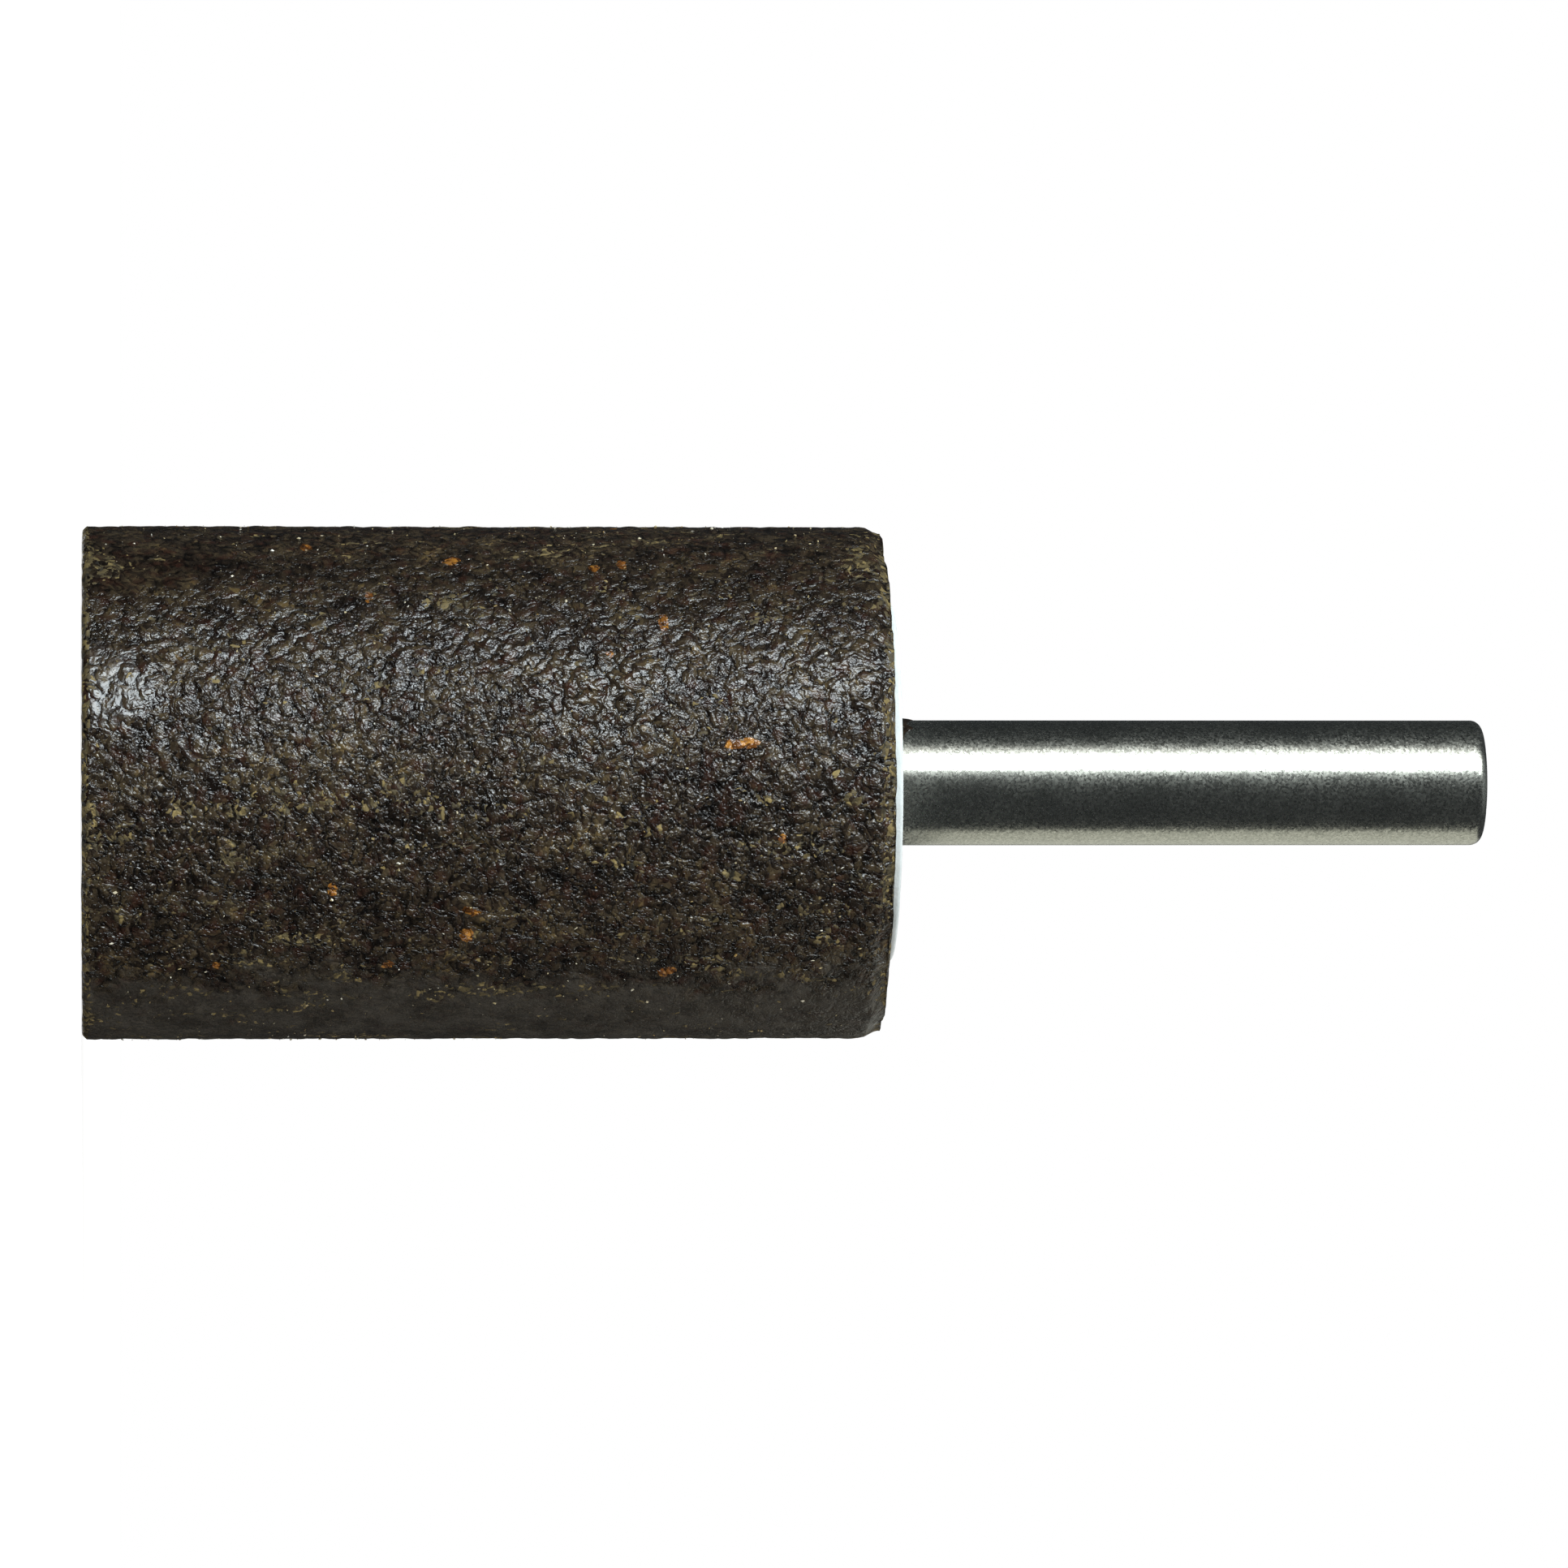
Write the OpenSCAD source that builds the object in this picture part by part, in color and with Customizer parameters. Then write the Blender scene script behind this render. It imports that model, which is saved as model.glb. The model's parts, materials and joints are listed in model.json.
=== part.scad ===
// Cylindrical mounted point: a moulded abrasive body cemented onto a steel shank.
// All sizes are in millimetres. Z is the axis of rotation, the free grinding face lies at Z = 0
// and the shank points up.

/* [Abrasive body] */
// Diameter of the abrasive body
body_diameter = 24.6; // [19:0.1:40]
// Length of the abrasive body
body_length = 38.2; // [28:0.1:60]
// Worn bevel round the free grinding face
free_edge_bevel = 0.25; // [0.05:0.05:2]
// Crumbled bevel round the shank-side face, measured along the radius
shank_rim_width = 0.35; // [0.05:0.05:2]
// Crumbled bevel round the shank-side face, measured along the axis
shank_rim_height = 0.8; // [0.05:0.05:5]

/* [Shank] */
// Diameter of the ground steel shank
shank_diameter = 6; // [5:0.1:12]
// Length of shank that stands clear of the blotter
shank_reach = 28.5; // [10:0.1:80]
// Radius of the rounded corner at the free end of the shank
shank_end_radius = 0.55; // [0.1:0.05:2]

/* [Spigot, the buried end of the shank] */
// Diameter of the spigot
spigot_diameter = 4.8; // [2:0.1:5.8]
// Length of the spigot, from the shoulder of the shank to its tip
spigot_length = 25; // [20:0.1:36]
// Chamfer at the tip of the spigot
spigot_tip_chamfer = 0.5; // [0.1:0.05:2]
// Number of keying grooves that the cement locks into
groove_count = 3; // [1:1:4]
// Width of one groove at the surface of the spigot
groove_width = 1.6; // [0.8:0.1:4]
// Depth of one groove, with flanks at 45 degrees
groove_depth = 0.3; // [0.1:0.05:0.6]
// Distance from the start of one groove to the start of the next
groove_pitch = 6; // [2:0.1:8]
// Distance from the tip of the spigot to the first groove
groove_start = 4; // [2:0.1:10]

/* [Paper blotter] */
// Diameter of the paper blotter on the shank-side face
blotter_diameter = 17.3; // [8:0.1:23]
// Thickness of the paper blotter
blotter_thickness = 0.5; // [0.2:0.05:2]
// Gap between the spigot and the hole in the blotter
blotter_clearance = 0.3; // [0.05:0.05:1]

/* [Cement] */
// Thickness of the cement film between the spigot and its bore
cement_film = 0.15; // [0.05:0.05:1]
// Depth of the cement pool under the tip of the spigot
cement_pool = 0.4; // [0.1:0.1:5]
// Height and width of the cement bead squeezed out under the shoulder of the shank
cement_bead = 0.3; // [0.1:0.05:2]

/* [Hidden] */
$fn = 128;

// Radii
body_radius = body_diameter / 2;
shank_radius = shank_diameter / 2;
spigot_radius = spigot_diameter / 2;
groove_radius = spigot_radius - groove_depth;
bore_radius = spigot_radius + cement_film;
blotter_radius = blotter_diameter / 2;
blotter_hole_radius = spigot_radius + blotter_clearance;
bead_foot_radius = shank_radius + cement_bead;

// Heights along the axis
blotter_top_z = body_length + blotter_thickness;
shoulder_z = blotter_top_z + cement_bead;
shank_end_z = blotter_top_z + shank_reach;
spigot_tip_z = shoulder_z - spigot_length;
bore_floor_z = spigot_tip_z - cement_pool;

// The abrasive cylinder with its blind bore, bevelled at both ends.
module abrasive_body() {
  color([0.17, 0.15, 0.12])
    rotate_extrude()
      polygon([
        [0, 0],
        [body_radius - free_edge_bevel, 0],
        [body_radius, free_edge_bevel],
        [body_radius, body_length - shank_rim_height],
        [body_radius - shank_rim_width, body_length],
        [bore_radius, body_length],
        [bore_radius, bore_floor_z],
        [0, bore_floor_z]
      ]);
}

// Half section of the shank: the grooved spigot, the shoulder and the rounded free end.
module shank_section() {
  grooves = [
    for (i = [0 : groove_count - 1])
      let (low_z = spigot_tip_z + groove_start + i * groove_pitch)
        each [
          [spigot_radius, low_z],
          [groove_radius, low_z + groove_depth],
          [groove_radius, low_z + groove_width - groove_depth],
          [spigot_radius, low_z + groove_width]
        ]
  ];
  polygon(concat(
    [
      [0, spigot_tip_z],
      [spigot_radius - spigot_tip_chamfer, spigot_tip_z],
      [spigot_radius, spigot_tip_z + spigot_tip_chamfer]
    ],
    grooves,
    [
      [spigot_radius, shoulder_z],
      [shank_radius, shoulder_z],
      [shank_radius, shank_end_z - shank_end_radius],
      [shank_radius - shank_end_radius, shank_end_z],
      [0, shank_end_z]
    ]
  ));
  translate([shank_radius - shank_end_radius, shank_end_z - shank_end_radius])
    circle(shank_end_radius);
}

// The steel shank, turned and ground as one piece.
module shank() {
  color([0.72, 0.73, 0.72])
    rotate_extrude()
      shank_section();
}

// The paper ring on the shank-side face, with a hole that clears the spigot.
module paper_blotter() {
  color([0.80, 0.82, 0.81])
    rotate_extrude()
      polygon([
        [blotter_hole_radius, body_length],
        [blotter_radius, body_length],
        [blotter_radius, blotter_top_z],
        [blotter_hole_radius, blotter_top_z]
      ]);
}

// The cement that fills the bore and the hole in the blotter round the spigot, and stands out
// as a bead between the blotter and the shoulder of the shank.
module shank_cement() {
  color([0.30, 0.25, 0.18])
    difference() {
      rotate_extrude()
        polygon([
          [0, bore_floor_z],
          [bore_radius, bore_floor_z],
          [bore_radius, body_length],
          [blotter_hole_radius, body_length],
          [blotter_hole_radius, blotter_top_z],
          [bead_foot_radius, blotter_top_z],
          [shank_radius, shoulder_z],
          [0, shoulder_z]
        ]);
      shank();
    }
}

abrasive_body();
shank();
paper_blotter();
shank_cement();
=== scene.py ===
# %% [markdown]
# A mounted point is a small grinding tool: a moulded cylinder of abrasive on a steel shank. The
# construction model gives every piece its real size. This lesson dresses it: the crumpled resin
# skin, the ground steel, the paper blotter and the cement that was squeezed out at the root.
# Everything is worked out in millimetres and turned to Blender's metres at the last moment.

# %% Load the construction model
import itertools
import json
import math

import bpy
import numpy as np
from mathutils import Matrix

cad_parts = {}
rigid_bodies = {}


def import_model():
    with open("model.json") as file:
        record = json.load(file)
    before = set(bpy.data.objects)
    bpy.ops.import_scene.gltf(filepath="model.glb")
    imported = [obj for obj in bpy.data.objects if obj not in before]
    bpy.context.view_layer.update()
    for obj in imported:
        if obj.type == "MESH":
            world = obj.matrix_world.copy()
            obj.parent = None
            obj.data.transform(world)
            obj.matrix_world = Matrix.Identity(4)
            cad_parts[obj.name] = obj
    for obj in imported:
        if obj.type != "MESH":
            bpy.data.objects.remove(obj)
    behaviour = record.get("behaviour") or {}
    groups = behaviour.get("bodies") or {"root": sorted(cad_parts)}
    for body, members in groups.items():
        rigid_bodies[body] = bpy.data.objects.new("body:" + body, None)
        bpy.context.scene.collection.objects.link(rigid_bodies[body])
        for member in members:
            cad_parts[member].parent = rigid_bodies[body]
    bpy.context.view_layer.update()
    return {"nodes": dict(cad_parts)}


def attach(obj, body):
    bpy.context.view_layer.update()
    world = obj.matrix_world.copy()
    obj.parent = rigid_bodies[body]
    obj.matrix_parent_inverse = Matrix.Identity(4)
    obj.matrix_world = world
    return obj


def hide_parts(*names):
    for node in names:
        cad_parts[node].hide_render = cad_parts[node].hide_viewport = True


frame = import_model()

MM = 0.001

# %% [markdown]
# The photograph looks almost square at the tool's side, from half a metre away and level with the
# free end, so the shank recedes a little. The tool lies on its side there. Here it stands on its
# flat free end, as it would on a bench, so the camera is rolled a quarter turn instead: image right
# is the tool's +Z and image up is -X.

# %% Camera
PHOTO_SIDE = 1932
FOCAL_PIXELS = 12619
SENSOR_WIDTH = 36
CAMERA_PLACE = np.array((0.06, -489.9, 2.0))
CAMERA_TILT = math.radians(3.69)

camera = bpy.data.objects.new("camera", bpy.data.cameras.new("camera"))
bpy.context.scene.collection.objects.link(camera)
bpy.context.scene.camera = camera
camera.data.sensor_width = SENSOR_WIDTH
camera.data.lens = SENSOR_WIDTH * FOCAL_PIXELS / PHOTO_SIDE
rise, reach = math.sin(CAMERA_TILT), math.cos(CAMERA_TILT)
image_right = np.array((0, -rise, reach))
image_up = np.array((-1, 0, 0))
image_back = np.array((0, -reach, -rise))
turn = Matrix((image_right, image_up, image_back)).transposed().to_4x4()
camera.matrix_world = Matrix.Translation(CAMERA_PLACE * MM) @ turn
print("lens, millimetres:", round(camera.data.lens, 1))

# %% [markdown]
# Two helpers serve every material. Colours are written the way a picture editor shows them, as
# sRGB hex, and `linear` turns them into the linear light that Blender computes with. `add` makes
# one shader node, sets it up and wires it, so a material reads as a list of its nodes.

# %% Colour and node helpers
def linear(hex_colour):
    """The linear RGBA of an sRGB colour such as "#2a241e"."""
    channels = [int(hex_colour[i:i + 2], 16) / 255 for i in (1, 3, 5)]
    bright = [c / 12.92 if c <= 0.04045 else ((c + 0.055) / 1.055) ** 2.4 for c in channels]
    return (*bright, 1.0)


def add(tree, kind, inputs=None, **settings):
    """Add a shader node, with plain values or (node, output) links for its inputs."""
    node = tree.nodes.new("ShaderNode" + kind)
    for name, value in settings.items():
        setattr(node, name, value)
    for socket, value in (inputs or {}).items():
        if isinstance(value, tuple) and isinstance(value[0], bpy.types.Node):
            tree.links.new(value[0].outputs[value[1]], node.inputs[socket])
        else:
            node.inputs[socket].default_value = value
    return node


def new_material(name):
    """An empty node material and its tree."""
    material = bpy.data.materials.new(name)
    material.use_nodes = True
    material.node_tree.nodes.clear()
    return material, material.node_tree


print("near-black resin in linear light:", [round(c, 3) for c in linear("#2a241e")[:3]])

# %% [markdown]
# The photograph is cut out on white. The world is white wherever it is seen directly or mirrored,
# and only a plain ambient light for everything else, so the white background adds no light to the
# tool. The ambient light is stronger from the lower side of the picture, as it is above a pale
# table. The floor works the same way: a real surface that takes the tool's shadow, lifted to white
# only for the rays that look at it, and a little more far away, where less lamp light reaches it.

# %% World and floor
AMBIENT = (0.42, 0.86)
FLOOR_SIDE = 8.0
FLOOR_GLOW = (0.72, 1.0)
FLOOR_GLOW_REACH = (0.12, 0.30)


def seen_directly(tree):
    """A node that is 1 for rays from the camera, a mirror or a glass, and 0 for bounced light."""
    path = add(tree, "LightPath")
    either = add(tree, "Math", {0: (path, "Is Camera Ray"), 1: (path, "Is Glossy Ray")},
                 operation="MAXIMUM")
    return add(tree, "Math", {0: (either, 0), 1: (path, "Is Transmission Ray")}, operation="MAXIMUM")


world = bpy.data.worlds.new("white studio")
bpy.context.scene.world = world
world.use_nodes = True
tree = world.node_tree
tree.nodes.clear()
way = add(tree, "TexCoord")
lower_side = add(tree, "SeparateXYZ", {0: (way, "Generated")})
bounce = add(tree, "MapRange", {"Value": (lower_side, "X"), "From Min": -1.0, "From Max": 1.0,
                                "To Min": AMBIENT[0], "To Max": AMBIENT[1]})
ambient = add(tree, "Background", {"Color": linear("#ffffff"), "Strength": (bounce, 0)})
white = add(tree, "Background", {"Color": linear("#ffffff"), "Strength": 1.0})
sky = add(tree, "MixShader", {0: (seen_directly(tree), 0), 1: (ambient, 0), 2: (white, 0)})
add(tree, "OutputWorld", {"Surface": (sky, 0)})

floor_white, tree = new_material("white studio floor")
matt = add(tree, "BsdfDiffuse", {"Color": linear("#b4b4b2")})
place = add(tree, "NewGeometry")
away = add(tree, "VectorMath", {0: (place, "Position")}, operation="LENGTH")
glow_here = add(tree, "MapRange", {
    "Value": (away, "Value"), "From Min": FLOOR_GLOW_REACH[0], "From Max": FLOOR_GLOW_REACH[1],
    "To Min": FLOOR_GLOW[0], "To Max": FLOOR_GLOW[1]})
lift = add(tree, "Math", {0: (seen_directly(tree), 0), 1: (glow_here, 0)}, operation="MULTIPLY")
glow = add(tree, "Emission", {"Color": linear("#ffffff"), "Strength": (lift, 0)})
both = add(tree, "AddShader", {0: (matt, 0), 1: (glow, 0)})
add(tree, "OutputMaterial", {"Surface": (both, 0)})

half = FLOOR_SIDE / 2
floor_mesh = bpy.data.meshes.new("floor")
floor_corners = [(-half, -half, 0), (half, -half, 0), (half, half, 0), (-half, half, 0)]
floor_mesh.from_pydata(floor_corners, [], [(0, 1, 2, 3)])
floor_mesh.materials.append(floor_white)
floor = bpy.data.objects.new("floor", floor_mesh)
bpy.context.scene.collection.objects.link(floor)
bpy.context.scene.view_settings.view_transform = "Standard"
print("floor side, metres:", FLOOR_SIDE)

# %% [markdown]
# A round bright shank is a mirror that shows the whole room in a few millimetres. The photograph
# shows one tall softbox above the camera with a little spill below it, a pale panel low down and
# close behind the shank, and dark card everywhere else. The same set stands here as a ring round
# the tool, with a grey roof and a dark mat on the floor. The cards only show in reflections, as if
# they were far away, so they take no light from the tool. Angles run from the camera, 0, upwards
# in the picture, so 90 is straight above the tool as the picture shows it.

# %% Softbox, panels and cards
SET_RADIUS = 0.28
CARD_HEIGHT = 0.55
CARD_STEP = 6
SOFTBOX = {"middle": 38.3, "spread": 20, "away": SET_RADIUS, "low": 0.0, "high": 0.42,
           "radiance": 10.8, "tint": "#eefaff"}
SPILL = {"middle": 5, "spread": 46, "away": SET_RADIUS, "low": 0.0, "high": 0.42,
         "radiance": 0.16, "tint": "#f0f8ff"}
PALE_PANEL = {"middle": -127, "spread": 62, "away": 0.034, "low": 0.0425, "high": 0.082,
              "radiance": 0.66, "tint": "#fdfff2"}
MAT_HOLE = 0.01212
MAT_LIFT = 0.00005


def set_direction(angle):
    """Unit vector on the ground from the tool towards an angle of the set."""
    return np.array((-math.sin(math.radians(angle)), -math.cos(math.radians(angle)), 0.0))


def panel_light(name, middle, spread, away, low, high, radiance, tint):
    """A flat upright lamp that spans an angle of the set, so far away, between two heights."""
    lamp = bpy.data.lights.new(name, "AREA")
    lamp.shape = "RECTANGLE"
    lamp.size = 2 * away * math.tan(math.radians(spread / 2))
    lamp.size_y = high - low
    lamp.energy = radiance * math.pi * lamp.size * lamp.size_y
    lamp.color = linear(tint)[:3]
    panel = bpy.data.objects.new(name, lamp)
    bpy.context.scene.collection.objects.link(panel)
    out = set_direction(middle)
    side = np.cross((0, 0, 1), out)
    axes = Matrix((side, (0, 0, 1), out)).transposed().to_4x4()
    panel.matrix_world = Matrix.Translation(out * away + (0, 0, (low + high) / 2)) @ axes
    panel.visible_camera = False


def card(name, hex_colour, start, end, foot, head):
    """A strip of card between two angles of the set, from one (radius, height) to another."""
    count = round((end - start) / CARD_STEP)
    points = []
    for i in range(count + 1):
        out = set_direction(start + (end - start) * i / count)
        points += [tuple(out * radius + (0, 0, height)) for radius, height in (foot, head)]
    faces = [(2 * i, 2 * i + 2, 2 * i + 3, 2 * i + 1) for i in range(count)]
    mesh = bpy.data.meshes.new(name)
    mesh.from_pydata(points, [], faces)
    material, tree = new_material(name)
    matt = add(tree, "BsdfDiffuse", {"Color": linear(hex_colour)})
    add(tree, "OutputMaterial", {"Surface": (matt, 0)})
    mesh.materials.append(material)
    sheet = bpy.data.objects.new(name, mesh)
    bpy.context.scene.collection.objects.link(sheet)
    sheet.visible_camera = False
    sheet.visible_diffuse = False
    sheet.visible_shadow = False


panel_light("softbox", **SOFTBOX)
panel_light("softbox spill", **SPILL)
panel_light("pale panel", **PALE_PANEL)
card("black card", "#303336", 66, 384, (SET_RADIUS, 0), (SET_RADIUS, CARD_HEIGHT))
card("grey roof", "#8c8f92", 0, 360, (SET_RADIUS, CARD_HEIGHT), (MM, CARD_HEIGHT))
card("dark mat", "#262626", 0, 360, (MAT_HOLE, MAT_LIFT), (SET_RADIUS, MAT_LIFT))
print("set: 3 panels and 3 cards")

# %% [markdown]
# The grinding body is a cylinder with a bevel at each end and a blind bore for the shank. Its
# outline is read off the construction model, so the dressed body keeps exactly that form. Each
# corner is the radius and height of a ring of vertices.

# %% Outline of the grinding body
CLOSE = 0.02


def profile(node):
    """Radius and height of each vertex of a piece of the construction model, in millimetres."""
    points = np.array([v.co for v in frame["nodes"][node].data.vertices]) / MM
    return np.hypot(points[:, 0], points[:, 1]), points[:, 2]


body_r, body_z = profile("abrasive_body")
body_radius = body_r.max()
body_length = body_z.max()
at_full_radius = body_z[body_r > body_radius - CLOSE]
free_face_radius = body_r[body_z < CLOSE].max()
free_bevel_top = at_full_radius.min()
rim_bevel_foot = at_full_radius.max()
rim_face_radius = body_r[body_z > body_length - CLOSE].max()
bore_radius = body_r[body_z > body_length - CLOSE].min()
bore_floor = body_z[(body_r < bore_radius + CLOSE) & (body_z > CLOSE)].min()
print("body radius", round(body_radius, 2), "length", round(body_length, 2))

# %% [markdown]
# The skin of the body is resin that shrank over the abrasive as it cured, and it lies in overlapping
# flakes a good half millimetre long. They could be a bump map, but then the outline would be a clean
# line and the flakes would throw no shadow. So they are modelled: each flake is a long low dome, laid
# at random in a lattice of cells, and the surface is the highest dome at each point. Soft lattice
# noise adds broader unevenness and breaks up the edges.

# %% Noise for the resin skin
LATTICE = 64
FLAKE_PITCH = 0.85
FLAKE_HALF_LENGTH = (0.60, 0.85)
FLAKE_HALF_WIDTH = (0.36, 0.55)
FLAKE_HEIGHT = (0.45, 1.0)
FLAKE_SEED = 11


def between(span, share):
    """The value at a share of the way through a span."""
    return span[0] + (span[1] - span[0]) * share


def fade(low, high, value):
    """0 below low, 1 above high and a smooth rise between."""
    share = np.clip((value - low) / (high - low), 0, 1)
    return share * share * (3 - 2 * share)


def cloud(points, size, seed):
    """Soft noise from 0 to 1, with lumps of about that size in millimetres."""
    table = np.random.default_rng(seed).random((LATTICE, LATTICE, LATTICE))
    cell = np.floor(points / size).astype(int)
    share = fade(0, 1, points / size - cell)
    total = np.zeros(len(points))
    for corner in itertools.product((0, 1), repeat=3):
        weight = np.prod(np.where(corner, share, 1 - share), axis=1)
        total += weight * table[tuple(((cell + corner) % LATTICE).T)]
    return total


def flakes(points):
    """Height of the flaky skin, 0 in the creases and 1 on the tallest flake."""
    table = np.random.default_rng(FLAKE_SEED).random((LATTICE, LATTICE, LATTICE, 9))
    cell = np.floor(points / FLAKE_PITCH).astype(int)
    height = np.zeros(len(points))
    for step in itertools.product((-1, 0, 1), repeat=3):
        home = cell + step
        draw = table[tuple((home % LATTICE).T)]
        away = points - (home + draw[:, :3]) * FLAKE_PITCH
        lie = draw[:, 3:6] - 0.5
        lie /= np.linalg.norm(lie, axis=1, keepdims=True)
        along = np.sum(away * lie, axis=1)
        across = np.sum(away * away, axis=1) - along ** 2
        half_length = between(FLAKE_HALF_LENGTH, draw[:, 6])
        half_width = between(FLAKE_HALF_WIDTH, draw[:, 7])
        dome = 1 - (along / half_length) ** 2 - across / half_width ** 2
        height = np.maximum(height, dome * between(FLAKE_HEIGHT, draw[:, 8]))
    return height


sample = flakes(np.random.default_rng(0).random((2000, 3)) * 20)
print("mean flake height on a sample:", round(sample.mean(), 2))

# %% [markdown]
# The mesh is a stack of rings that runs from the middle of the free face, up the side, over the
# rim and down into the bore. Rings are close together where the skin shows and far apart where it
# is hidden. Towards the middle of a face every other point of a ring drops out, so the triangles
# keep about the same size.

# %% Rings of the grinding body
ROUND = 400
SKIN_STEP = 0.2
FACE_STEP = 0.32
HIDDEN_STEP = 3.0
HIDDEN_RADIUS = 8.2
MIDDLE_RADIUS = 0.35
THIN_OUT = 0.55


def steps(start, end, step):
    """Points of the outline from start to end, without the end itself."""
    start, end = np.array(start), np.array(end)
    count = max(1, round(np.linalg.norm(end - start) / step))
    return [tuple(start + (end - start) * i / count) for i in range(count)]


def points_round(radius, step):
    """How many points a ring of that radius takes, a whole number of halvings of ROUND."""
    count = ROUND
    while count % 2 == 0 and 2 * math.pi * radius / count < step * THIN_OUT:
        count //= 2
    return count


def ring(radius, height, count):
    """Points of a level circle, all the way round."""
    angle = np.arange(count) * 2 * math.pi / count
    return np.column_stack((radius * np.cos(angle), radius * np.sin(angle), np.full(count, height)))


def stitch(low, high):
    """Faces between two rings that have as many points as each other, or twice or half as many."""
    if len(low) == len(high):
        return np.column_stack((low, np.roll(low, -1), np.roll(high, -1), high)).tolist()
    if len(low) < len(high):
        return [face[::-1] for face in stitch(high, low)]
    faces = []
    for i, inner in enumerate(high):
        following = high[(i + 1) % len(high)]
        first, middle, last = (low[(2 * i + k) % len(low)] for k in range(3))
        faces += [(first, middle, inner), (middle, following, inner), (middle, last, following)]
    return [tuple(int(v) for v in face) for face in faces]


corners = (
    ((MIDDLE_RADIUS, 0), FACE_STEP),
    ((free_face_radius, 0), SKIN_STEP / 2),
    ((body_radius, free_bevel_top), SKIN_STEP),
    ((body_radius, rim_bevel_foot), SKIN_STEP / 2),
    ((rim_face_radius, body_length), SKIN_STEP),
    ((HIDDEN_RADIUS, body_length), HIDDEN_STEP),
    ((bore_radius, body_length), HIDDEN_STEP * 3),
    ((bore_radius, bore_floor), HIDDEN_STEP),
    ((MIDDLE_RADIUS, bore_floor), HIDDEN_STEP),
)
rings, skin_points, next_index = [], [], 0
for (start, step), (end, _) in zip(corners, corners[1:]):
    for radius, height in steps(start, end, step):
        count = points_round(radius, step)
        skin_points.append(ring(radius, height, count))
        rings.append(np.arange(next_index, next_index + count))
        next_index += count
skin_points = np.concatenate(skin_points)

skin_faces = [tuple(int(v) for v in rings[0][::-1])]
for low, high in zip(rings, rings[1:]):
    skin_faces += stitch(low, high)
skin_faces.append(tuple(int(v) for v in rings[-1]))
print("skin:", len(skin_points), "points,", len(skin_faces), "faces")

# %% [markdown]
# Some marks have to lie where the photograph has them: slivers of orange-brown filler and patches
# where the dark skin is worn to the yellow-brown stuff below. They are written as places in the
# picture, in pixels, and the camera is run backwards: the ray through that pixel meets the body's
# cylinder at an angle round the axis and a height. On the far side they are strewn from a seed.

# %% Places on the skin
SLIVERS_SEEN = (
    # column, row, length and width in pixels of the photograph
    (917, 916, 42, 12), (816, 765, 13, 20), (751, 803, 14, 10), (732, 698, 12, 9),
    (765, 695, 14, 10), (556, 690, 22, 10), (582, 1125, 22, 11), (574, 1154, 19, 15),
    (822, 1198, 22, 12), (410, 1096, 12, 15), (478, 1189, 15, 11), (268, 1192, 11, 9),
    (966, 1034, 10, 10), (375, 673, 13, 9), (454, 735, 12, 12),
)
WORN_SEEN = (
    (126, 696, 50, 34), (234, 995, 56, 16), (290, 1000, 32, 14), (360, 994, 54, 18),
    (112, 1040, 26, 28), (148, 1033, 28, 12), (288, 1062, 36, 22), (370, 1160, 86, 14),
    (424, 1206, 36, 12), (948, 984, 24, 15), (1054, 985, 36, 18), (903, 1080, 30, 14),
    (992, 1122, 24, 18), (1020, 1158, 36, 24), (934, 762, 40, 12), (680, 680, 36, 12),
    (807, 668, 28, 12), (1062, 690, 40, 40), (398, 762, 14, 16), (560, 742, 60, 20),
)
STREWN_SLIVERS = 26
STREWN_WORN = 34
FAR_SIDE = (80, 280)
STREW_SEED = 41
RAGGED_SIZE, FRAYED_SIZE = 1.1, 0.35
MARK_EDGE = (0.5, 1.5)
MARK_FRAYED = 0.9

point_r = np.hypot(skin_points[:, 0], skin_points[:, 1])
point_z = skin_points[:, 2]
point_angle = np.degrees(np.arctan2(-skin_points[:, 0], -skin_points[:, 1]))
hidden = (point_r < HIDDEN_RADIUS) & (point_z > CLOSE)
on_free_face = point_z < CLOSE
on_rim_face = (point_z > body_length - CLOSE) & ~hidden
on_side = ~(on_free_face | on_rim_face | hidden)
ragged = cloud(skin_points, RAGGED_SIZE, 9) - 0.5
frayed = cloud(skin_points, FRAYED_SIZE, 10) - 0.5


def on_skin(column, row, length, width):
    """Angle, height, length and width on the body of a mark in the photograph."""
    half = PHOTO_SIDE / 2
    ray = (column - half) * image_right + (half - row) * image_up - FOCAL_PIXELS * image_back
    a = ray[:2] @ ray[:2]
    b = ray[:2] @ CAMERA_PLACE[:2]
    c = CAMERA_PLACE[:2] @ CAMERA_PLACE[:2] - body_radius ** 2
    distance = (-b - math.sqrt(b * b - a * c)) / a
    x, y, height = CAMERA_PLACE + distance * ray
    angle = math.degrees(math.atan2(-x, -y))
    return angle, height, length * distance, width * distance / math.cos(math.radians(angle))


def strewn(count, lengths, widths):
    """Angles, heights, lengths and widths of marks on the far side of the body."""
    draw = np.random.default_rng(STREW_SEED + count)
    spans = (FAR_SIDE, (1.0, body_length - 1.0), lengths, widths)
    return np.column_stack([draw.uniform(*span, count) for span in spans])


def off_centre(angle, height, half_angle, half_height):
    """How far each point lies from the middle of an oval on the skin, 1 at its edge."""
    turn = (point_angle - angle + 180) % 360 - 180
    return np.hypot(turn / half_angle, (point_z - height) / half_height)


def marked(places):
    """How far each point lies inside a set of marks, 1 in the middle and 0 outside."""
    inside = np.zeros(len(skin_points))
    for angle, height, length, width in places:
        half_angle = math.degrees(width / 2 / body_radius)
        off = off_centre(angle, height, half_angle, length / 2)
        inside = np.maximum(inside, 1 - fade(*MARK_EDGE, off + MARK_FRAYED * frayed))
    return inside * on_side


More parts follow.
